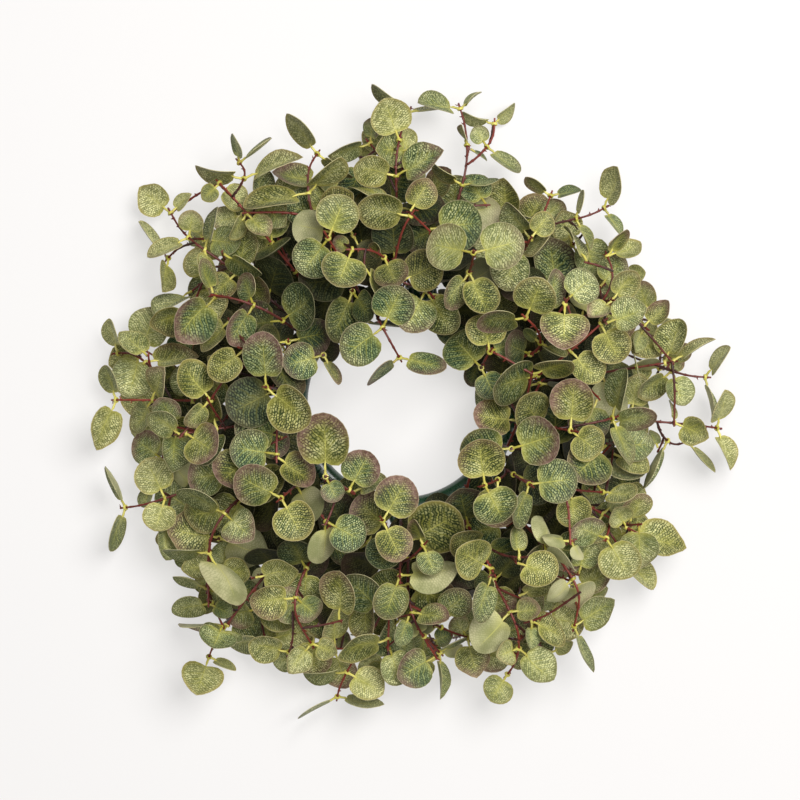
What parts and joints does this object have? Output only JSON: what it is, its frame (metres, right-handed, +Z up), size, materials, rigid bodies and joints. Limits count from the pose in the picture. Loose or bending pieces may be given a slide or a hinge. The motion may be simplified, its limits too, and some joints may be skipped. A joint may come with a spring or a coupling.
{
  "type": "eucalyptus wreath",
  "caption": "Artificial eucalyptus wreath that lies flat: a plastic ring with leafy sprays pushed into it, round leaves in pairs on thin forked stems, around an open middle.",
  "frame": {"origin": "on the surface that the wreath lies on, under the middle of its box seen from above", "axes": "+Z up out of that surface, +X to the right of the picture, +Y to the picture's top"},
  "size_m": [0.5136, 0.5026, 0.1112],
  "materials": {
    "ring": "dark green moulded plastic with a gloss",
    "foliage": "printed matt leaf cloth, bluish green with a pale net of veins",
    "stem": null
  },
  "bodies": {
    "root": {"ring": "ring", "spray_01": "foliage", "spray_02": "foliage", "spray_03": "foliage", "spray_04": "foliage", "spray_05": "foliage", "spray_06": "foliage", "spray_07": "foliage", "spray_08": "foliage", "spray_09": "foliage", "spray_10": "foliage", "spray_11": "foliage", "spray_12": "foliage", "spray_13": "foliage", "spray_14": "foliage", "spray_15": "foliage", "spray_16": "foliage", "spray_17": "foliage", "spray_18": "foliage", "spray_19": "foliage", "spray_20": "foliage", "spray_21": "foliage", "spray_22": "foliage", "spray_23": "foliage", "spray_24": "foliage", "spray_25": "foliage", "spray_26": "foliage", "spray_27": "foliage", "spray_28": "foliage", "spray_29": "foliage", "spray_30": "foliage", "spray_31": "foliage", "spray_32": "foliage", "spray_33": "foliage", "spray_34": "foliage", "spray_35": "foliage", "spray_36": "foliage", "spray_37": "foliage", "spray_38": "foliage", "spray_39": "foliage", "spray_40": "foliage"}
  },
  "joints": []
}
